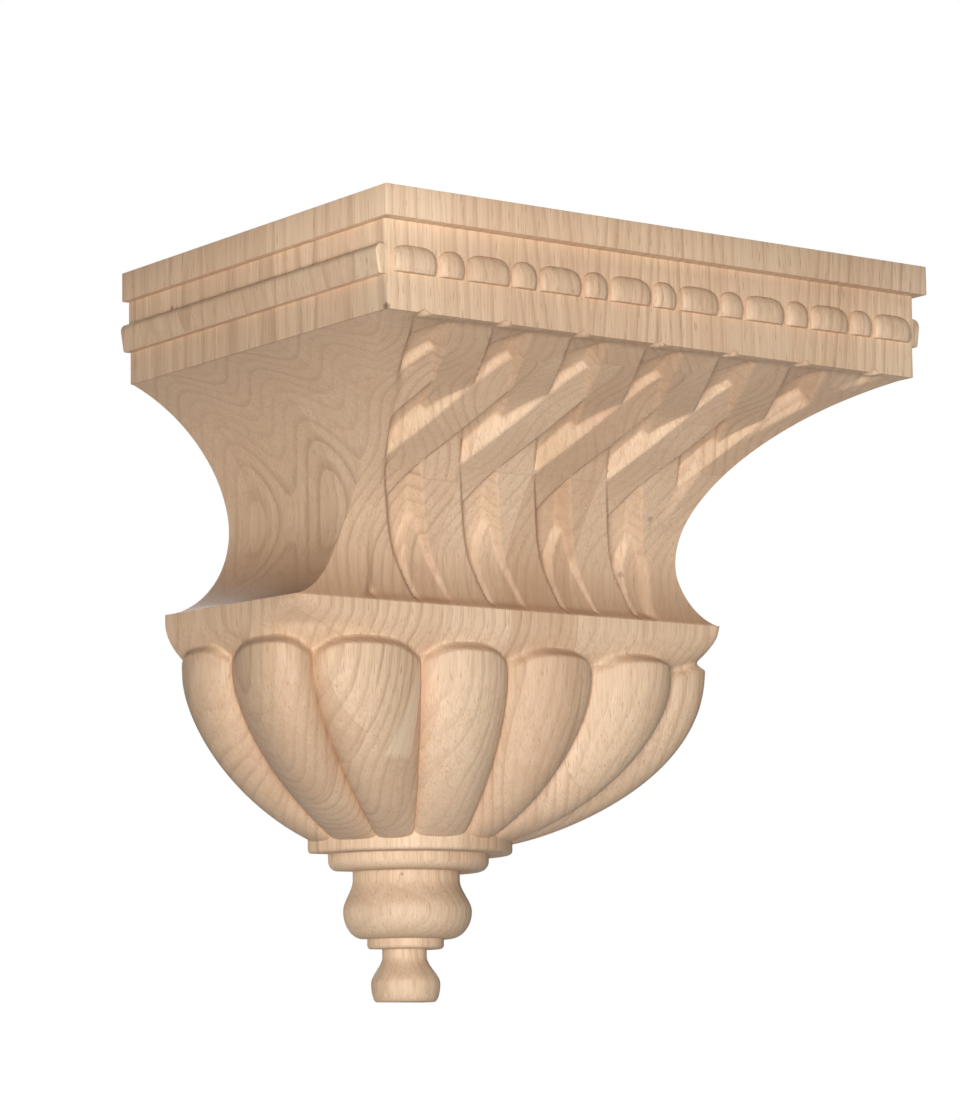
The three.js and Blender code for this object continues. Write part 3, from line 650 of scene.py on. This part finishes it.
def bowl_points(columns, height, corner_drop):
    place, turn, across = columns
    corner = 1 / BOWL_CORNER_POWER
    foot = round_plan(turn, FOOT_RADIUS)
    valley_plan = corner_plan(place, corner, VALLEY_BACK_HALF_WIDTH, VALLEY_FRONT_HALF_WIDTH, VALLEY_DEPTH)
    crest_plan = corner_plan(place, corner, CREST_BACK_HALF_WIDTH, CREST_FRONT_HALF_WIDTH, CREST_DEPTH)
    if height >= LOBE_VALLEY_TOP:
        drop = RIM_HEIGHT - height
        band_corner = corner * min(drop / corner_drop, 1)
        band_plan = corner_plan(place, band_corner, RIM_BACK_HALF_WIDTH, RIM_FRONT_HALF_WIDTH, RIM_DEPTH)
        band_rise = RIM_HEIGHT - BAND_HEAD_DROP - BAND_FOOT_HEIGHT
        share = np.clip((drop - BAND_HEAD_DROP) / band_rise, 0, 1)
        base = lerp(band_plan, valley_plan, share ** BAND_CURVE_POWER)
    else:
        share = bowl_reach(height, LOBE_VALLEY_TOP, VALLEY_FALL_POWER, VALLEY_FULLNESS_POWER)
        base = lerp(foot, valley_plan, share)
    crest = lerp(foot, crest_plan, bowl_reach(height, LOBE_FULL_HEIGHT, CREST_FALL_POWER, CREST_FULLNESS_POWER))
    rounding = np.maximum(0, np.cos(math.pi / 2 * across)) ** LOBE_ROUNDNESS_POWER
    lobe_top = LOBE_CREST_TOP - LOBE_TIP_HEIGHT * np.abs(across) ** LOBE_TIP_POWER
    swell = smoothstep(lobe_top - height, 0, LOBE_SWELL_HEIGHT)
    return lerp(base, crest, rounding * swell)


def bowl():
    left = lobe_columns(LEFT_CORNER_LOBE_SHARE, LEFT_FRONT_TURN_SHARE)
    right = lobe_columns(RIGHT_CORNER_LOBE_SHARE, RIGHT_FRONT_TURN_SHARE)
    heights = list(np.linspace(RIM_HEIGHT, LOBE_CREST_TOP, BAND_ROWS + 1))
    heights += list(np.linspace(LOBE_CREST_TOP, LOBE_VALLEY_TOP, TIP_ROWS + 1)[1:])
    turn = np.linspace(0, 1, LOBE_ROWS + 1)[1:]
    heights += list(lerp(LOBE_VALLEY_TOP, FOOT_HEIGHT, np.sin(math.pi / 2 * turn)))
    rings = []
    for height in heights:
        halves = []
        for columns, side, corner_drop in (
            (left, -1, LEFT_BAND_CORNER_DROP), (right, 1, RIGHT_BAND_CORNER_DROP),
        ):
            x, front = bowl_points(columns, height, corner_drop)
            halves.append(np.stack([side * x, -front, np.full_like(x, height)], axis=-1))
        rings.append(np.concatenate([halves[0][:0:-1], halves[1]]))
    return face_outward(skin("bowl", rings))


# Turned rings and finial. An ogee leaves and arrives upright, an arc leaves level and arrives upright.
def ogee(from_radius, from_height, to_radius, to_height, steps):
    share = np.arange(1, steps + 1) / steps
    return list(zip(lerp(from_radius, to_radius, smoothstep(share, 0, 1)), lerp(from_height, to_height, share)))


def arc(from_radius, from_height, to_radius, to_height, steps):
    angle = math.pi / 2 * np.arange(1, steps + 1) / steps
    return list(zip(
        lerp(from_radius, to_radius, np.sin(angle)), lerp(from_height, to_height, 1 - np.cos(angle)),
    ))


def turning():
    edge = TURNED_EDGE
    profile = [(BASE_RADIUS, 0)]
    profile += arc(BASE_RADIUS, 0, DROP_RADIUS, DROP_HEIGHT, 8)
    profile += ogee(DROP_RADIUS, DROP_HEIGHT, WAIST_RADIUS, WAIST_HEIGHT, 14)
    profile += [(WAIST_RADIUS, SMALL_RING_FOOT_HEIGHT), (SMALL_RING_RADIUS - edge, SMALL_RING_FOOT_HEIGHT)]
    profile += arc(
        SMALL_RING_RADIUS - edge, SMALL_RING_FOOT_HEIGHT,
        SMALL_RING_RADIUS, SMALL_RING_FOOT_HEIGHT + edge, 4,
    )
    profile += [(SMALL_RING_RADIUS, SMALL_RING_HEAD_HEIGHT), (BULB_FOOT_RADIUS, SMALL_RING_HEAD_HEIGHT)]
    profile += arc(BULB_FOOT_RADIUS, SMALL_RING_HEAD_HEIGHT, BULB_RADIUS, BULB_HEIGHT, 16)
    profile += ogee(BULB_RADIUS, BULB_HEIGHT, NECK_RADIUS, NECK_HEIGHT, 16)
    ring_inner = FILLET_RING_RADIUS - FILLET_RING_ROUND
    profile += [(NECK_RADIUS, FILLET_RING_FOOT_HEIGHT), (ring_inner, FILLET_RING_FOOT_HEIGHT)]
    profile += arc(
        ring_inner, FILLET_RING_FOOT_HEIGHT, FILLET_RING_RADIUS, FILLET_RING_FOOT_HEIGHT + FILLET_RING_ROUND, 8,
    )
    profile += [(FILLET_RING_RADIUS, COLLAR_FOOT_HEIGHT), (COLLAR_RADIUS - edge, COLLAR_FOOT_HEIGHT)]
    profile += arc(
        COLLAR_RADIUS - edge, COLLAR_FOOT_HEIGHT, COLLAR_RADIUS, COLLAR_FOOT_HEIGHT + edge, 4,
    )
    profile.append((COLLAR_RADIUS, COLLAR_FOOT_HEIGHT + COLLAR_HEIGHT))
    share = np.linspace(-1, 1, TURNING_SEGMENTS + 1)
    rings = []
    for radius, height in profile:
        angle = share * (math.pi / 2 + math.asin(AXIS_SETBACK / radius))
        y = np.minimum(0, -(AXIS_SETBACK + radius * np.cos(angle)))
        rings.append(np.stack([radius * np.sin(angle), y, np.full_like(share, height)], axis=-1))
    return face_outward(skin("turning", rings))


def joined(name, parts):
    """One closed mesh made of overlapping closed parts."""
    whole = parts[0]
    for part in parts[1:]:
        join = whole.modifiers.new("join", "BOOLEAN")
        join.operation = "UNION"
        join.solver = "MANIFOLD"
        join.object = part
    mesh = finished_mesh(whole)
    whole.modifiers.clear()
    for part in parts:
        bpy.data.objects.remove(part)
    mesh.name = name
    piece = bpy.data.objects.new(name, mesh)
    bpy.context.scene.collection.objects.link(piece)
    return piece


# Wood. Growth layers, strips, fibres and pores all run through the solid, so they meet across
# every edge and open into rings and ovals where a cove or a lobe cuts through them.
def feed(tree, socket, value):
    """Sets a socket to a fixed value, or links another node's output to it."""
    if isinstance(value, (int, float, tuple)):
        socket.default_value = value
    else:
        tree.links.new(value, socket)


def value_node(tree, operation, *values):
    node = tree.nodes.new("ShaderNodeMath")
    node.operation = operation
    for socket, value in zip(node.inputs, values):
        feed(tree, socket, value)
    return node.outputs[0]


def vector_of(tree, x, y, z):
    node = tree.nodes.new("ShaderNodeCombineXYZ")
    for socket, value in zip(node.inputs, (x, y, z)):
        feed(tree, socket, value)
    return node.outputs[0]


def remap(tree, value, low, high, to_low, to_high, smooth=False):
    node = tree.nodes.new("ShaderNodeMapRange")
    if smooth:
        node.interpolation_type = "SMOOTHSTEP"
    tree.links.new(value, node.inputs["Value"])
    for name, limit in (("From Min", low), ("From Max", high), ("To Min", to_low), ("To Max", to_high)):
        node.inputs[name].default_value = limit
    return node.outputs["Result"]


def grain_noise(tree, place, scale, detail=2, roughness=0.5):
    """Noise in cells of the given counts a metre along X, Y and Z."""
    spread = tree.nodes.new("ShaderNodeVectorMath")
    spread.operation = "MULTIPLY"
    spread.inputs[1].default_value = scale
    tree.links.new(place, spread.inputs[0])
    node = tree.nodes.new("ShaderNodeTexNoise")
    node.inputs["Scale"].default_value = 1
    node.inputs["Detail"].default_value = detail
    node.inputs["Roughness"].default_value = roughness
    tree.links.new(spread.outputs[0], node.inputs["Vector"])
    return node.outputs["Fac"]


def tint(tree, base, colour, share):
    """The base colour blended towards another by a share."""
    node = tree.nodes.new("ShaderNodeMix")
    node.data_type = "RGBA"
    for socket, value in ((node.inputs[0], share), (node.inputs[6], base), (node.inputs[7], colour)):
        feed(tree, socket, value)
    return node.outputs[2]


def random_of(tree, x, y):
    node = tree.nodes.new("ShaderNodeTexWhiteNoise")
    node.noise_dimensions = "3D"
    tree.links.new(vector_of(tree, x, y, 3), node.inputs["Vector"])
    split = tree.nodes.new("ShaderNodeSeparateColor")
    tree.links.new(node.outputs["Color"], split.inputs["Color"])
    return node.outputs["Value"], split.outputs["Red"], split.outputs["Green"], split.outputs["Blue"]


def wood():
    material = bpy.data.materials.new("raw pale hardwood")
    material.use_nodes = True
    tree = material.node_tree
    shader = tree.nodes["Principled BSDF"]
    place = tree.nodes.new("ShaderNodeTexCoord").outputs["Object"]
    split = tree.nodes.new("ShaderNodeSeparateXYZ")
    tree.links.new(place, split.inputs[0])
    x, y, z = split.outputs

    def maths(operation, *values):
        return value_node(tree, operation, *values)

    # Glued strips, side by side and in front of each other
    strip_place = maths("DIVIDE", maths("SUBTRACT", x, STRIP_SEAM / 1000), STRIP_WIDTH / 1000)
    strip = maths("FLOOR", strip_place)
    shift, _, _, _ = random_of(tree, strip, 7)
    layer_place = maths("ADD", maths("DIVIDE", y, LAYER_DEPTH / 1000), shift)
    layer = maths("FLOOR", layer_place)
    pick, tone, hue, turn = random_of(tree, strip, layer)

    # Growth layers, which lie across X and roll in and out along Y
    roll = maths("MULTIPLY", maths("ADD", y, ROLL_CREST / 1000), 2000 * math.pi / ROLL_LENGTH)
    bend = maths("MULTIPLY", maths("SUBTRACT", grain_noise(tree, place, BEND_GRAIN, 1), 0.5), WANDER / 1000)
    leaning = maths("MULTIPLY", z, remap(tree, turn, 0, 1, -LEAN_SHARE, LEAN_SHARE))
    crossing = maths("MULTIPLY", y, remap(tree, hue, 0, 1, -CROSSING_SHARE, CROSSING_SHARE))
    change = maths("ADD", maths("ADD", leaning, crossing), maths("MULTIPLY", pick, STRIP_CHANGE / 1000))
    change = maths("MULTIPLY", change, maths("GREATER_THAN", x, OUTER_STRIP / 1000))
    field = maths("ADD", x, maths("MULTIPLY", maths("COSINE", roll), ROLL_HEIGHT / 1000))
    field = maths("ADD", maths("ADD", field, bend), change)
    year = maths("DIVIDE", field, RING_SPACING / 1000)
    strength, _, _, _ = random_of(tree, maths("FLOOR", year), 2)
    ring = maths("FRACT", year)
    line = maths("MULTIPLY", remap(tree, ring, 0.45, 0.93, 0, 1, True), remap(tree, ring, 0.93, 1, 1, 0, True))
    late = maths("MULTIPLY", line, remap(tree, strength, 0, 1, 0.35, 1))

    # Fibres and pores, long along Z
    streak = grain_noise(tree, place, STREAK_GRAIN, 3, 0.6)
    fibre = grain_noise(tree, place, FIBRE_GRAIN, 2, 0.6)
    pore = grain_noise(tree, place, PORE_GRAIN, 1, 0.4)
    cloud = grain_noise(tree, place, CLOUD_GRAIN, 3, 0.55)
    blush = grain_noise(tree, place, BLUSH_GRAIN, 2, 0.5)

    colour = tint(tree, WOOD_PALE, WOOD_RING, late)
    colour = tint(tree, colour, WOOD_TAN, remap(tree, cloud, 0.35, 0.7, 0, 0.55))
    colour = tint(tree, colour, WOOD_PINK, remap(tree, blush, 0.5, 0.72, 0, 0.5))
    colour = tint(tree, colour, WOOD_DARK, remap(tree, tone, 0, 1, 0, 0.4))
    colour = tint(tree, colour, WOOD_CREAM, remap(tree, hue, 0.6, 1, 0, 0.4))
    colour = tint(tree, colour, WOOD_DARK, remap(tree, streak, 0.5, 0.8, 0, 0.28))
    colour = tint(tree, colour, WOOD_CREAM, remap(tree, streak, 0.5, 0.25, 0, 0.28))
    colour = tint(tree, colour, WOOD_DARK, remap(tree, fibre, 0.45, 0.75, 0, 0.42))
    pores = remap(tree, pore, 0.64, 0.74, 0, 0.4)
    colour = tint(tree, colour, WOOD_PORE, pores)

    # Hair lines where two strips are glued
    seam = maths("MINIMUM", maths("PINGPONG", strip_place, 0.5), maths("PINGPONG", layer_place, 0.5))
    colour = tint(tree, colour, WOOD_PORE, remap(tree, seam, 0, 0.007, 0.22, 0))

    # Wood cut across its fibres is duller, and on faces turned up, such as the foot of the cove, this darkening is
    # also painted shade
    surface = tree.nodes.new("ShaderNodeNewGeometry")
    facing = tree.nodes.new("ShaderNodeSeparateXYZ")
    tree.links.new(surface.outputs["Normal"], facing.inputs[0])
    colour = tint(tree, colour, WOOD_END_GRAIN_AND_SHADE, remap(tree, maths("ABSOLUTE", facing.outputs["Z"]), 0.12, 0.85, 0, 0.42))

    # Darker wood in the corner above the rim, partly painted shade: it stands in for some of the shade that falls
    # there
    foot = (RIM_HEIGHT - HEIGHT / 2) / 1000
    painted_shade = maths(
        "MULTIPLY", remap(tree, z, foot - 0.0002, foot + 0.0006, 0, 1),
        remap(tree, z, foot + 0.001, foot + PAINTED_SHADE_RISE / 1000, 1, 0),
    )
    painted_shade = maths("MULTIPLY", painted_shade, remap(tree, y, -0.001, 0, PAINTED_SHADE_SHARE, 0))
    colour = tint(tree, colour, WOOD_PAINTED_SHADE, painted_shade)

    # A paler patch on the lobe left of the middle
    slant = maths("ADD", x, maths("MULTIPLY", z, -PALE_PATCH_SLANT))
    patch = remap(tree, slant, PALE_PATCH_LEFT / 1000, PALE_PATCH_LEFT / 1000 + 0.0015, 0, PALE_PATCH_SHARE)
    patch = maths("MULTIPLY", patch, maths("LESS_THAN", x, PALE_PATCH_RIGHT / 1000))
    patch = maths("MULTIPLY", patch, maths("LESS_THAN", y, PALE_PATCH_BACK / 1000))
    patch = maths("MULTIPLY", patch, remap(tree, z, PALE_PATCH_FOOT / 1000, PALE_PATCH_FOOT / 1000 + 0.002, 0, 1))
    patch = maths("MULTIPLY", patch, maths("LESS_THAN", z, PALE_PATCH_HEAD / 1000))
    colour = tint(tree, colour, WOOD_PALE_PATCH, patch)

    # Small knots and nicks
    for centre, radius, strength in KNOTS:
        reach = tree.nodes.new("ShaderNodeVectorMath")
        reach.operation = "DISTANCE"
        tree.links.new(place, reach.inputs[0])
        reach.inputs[1].default_value = [value / 1000 for value in centre]
        spot = remap(tree, reach.outputs["Value"], 0.3 * radius / 1000, radius / 1000, strength, 0, True)
        colour = tint(tree, colour, WOOD_KNOT, spot)

    tree.links.new(colour, shader.inputs["Base Color"])
    tree.links.new(remap(tree, fibre, 0.3, 0.7, 0.58, 0.74), shader.inputs["Roughness"])
    height = maths("SUBTRACT", maths("MULTIPLY", fibre, 0.6), maths("MULTIPLY", pores, 0.9))
    height = maths("ADD", height, maths("MULTIPLY", grain_noise(tree, place, RIPPLE_GRAIN, 2), 1.6))
    bump = tree.nodes.new("ShaderNodeBump")
    bump.inputs["Strength"].default_value = 0.5
    bump.inputs["Distance"].default_value = 0.0002
    tree.links.new(height, bump.inputs["Height"])
    tree.links.new(bump.outputs["Normal"], shader.inputs["Normal"])
    return material


def corbel():
    finish = wood()
    parts = [
        slab("fascia", WIDTH / 2 - FASCIA_SIDE_INSET, DEPTH, fascia_foot, HEIGHT),
        slab("field", field_half_width, field_front, bead_band_foot, fascia_foot + OVERLAP),
        side_band("right band", 1),
        side_band("left band", -1),
        neck(),
        bowl(),
        turning(),
    ]
    parts += bead_rows(finish)
    piece = joined("corbel_wood", parts)
    piece.data.materials.clear()
    piece.data.materials.append(finish)
    for polygon in piece.data.polygons:
        polygon.material_index = 0
    piece.data.shade_smooth()
    piece.data.set_sharp_from_angle(angle=math.radians(SHARP_ANGLE))
    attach(piece, "root")
    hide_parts("corbel")
    return piece


# Camera, floor and light
def camera():
    yaw = math.radians(CAMERA_YAW)
    pitch = math.radians(CAMERA_PITCH)
    roll = math.radians(CAMERA_ROLL)
    ahead = Vector((math.sin(yaw) * math.cos(pitch), math.cos(yaw) * math.cos(pitch), math.sin(pitch)))
    level = Vector((math.cos(yaw), -math.sin(yaw), 0))
    above = level.cross(ahead)
    right = level * math.cos(roll) + above * math.sin(roll)
    up = above * math.cos(roll) - level * math.sin(roll)
    lens = bpy.data.cameras.new("camera")
    lens.lens = CAMERA_LENS
    lens.sensor_width = 36
    lens.clip_end = 100
    holder = bpy.data.objects.new("camera", lens)
    turn = Matrix((right, up, -ahead)).transposed().to_4x4()
    holder.matrix_world = Matrix.Translation(CAMERA_PLACE) @ turn
    bpy.context.scene.collection.objects.link(holder)
    bpy.context.scene.camera = holder


def floor():
    mesh = bpy.data.meshes.new("floor")
    side = FLOOR_HALF_SIDE
    level = FLOOR_LEVEL
    corners = [(-side, -side, level), (side, -side, level), (side, side, level), (-side, side, level)]
    mesh.from_pydata(corners, [], [(0, 1, 2, 3)])
    piece = bpy.data.objects.new("floor", mesh)
    bpy.context.scene.collection.objects.link(piece)
    material = bpy.data.materials.new("pale floor")
    material.use_nodes = True
    shader = material.node_tree.nodes["Principled BSDF"]
    shader.inputs["Base Color"].default_value = (0.9, 0.9, 0.9, 1)
    shader.inputs["Roughness"].default_value = 0.9
    shader.inputs["Emission Color"].default_value = (1, 0.99, 0.98, 1)
    shader.inputs["Emission Strength"].default_value = 0.6
    mesh.materials.append(material)
    piece.visible_diffuse = False


def area_light(name, place, size, power, target):
    light = bpy.data.lights.new(name, "AREA")
    light.shape = "SQUARE"
    light.size = size
    light.energy = power
    holder = bpy.data.objects.new(name, light)
    aim = (Vector(target) - Vector(place)).to_track_quat("-Z", "Y")
    holder.matrix_world = Matrix.Translation(place) @ aim.to_matrix().to_4x4()
    bpy.context.scene.collection.objects.link(holder)


def studio():
    world = bpy.data.worlds.new("studio")
    bpy.context.scene.world = world
    world.use_nodes = True
    nodes = world.node_tree.nodes
    seen = nodes["Background"]
    seen.inputs["Color"].default_value = (1, 1, 1, 1)
    seen.inputs["Strength"].default_value = 1
    fill = nodes.new("ShaderNodeBackground")
    fill.inputs["Color"].default_value = (1, 0.98, 0.96, 1)
    fill.inputs["Strength"].default_value = WORLD_FILL
    path = nodes.new("ShaderNodeLightPath")
    mix = nodes.new("ShaderNodeMixShader")
    link_chain(world.node_tree, [
        (path.outputs["Is Camera Ray"], mix.inputs["Fac"]),
        (fill.outputs["Background"], mix.inputs[1]),
        (seen.outputs["Background"], mix.inputs[2]),
        (mix.outputs["Shader"], nodes["World Output"].inputs["Surface"]),
    ])
    for light in LIGHTS:
        area_light(*light)
    bpy.context.scene.view_settings.view_transform = "Standard"


corbel()
floor()
studio()
camera()
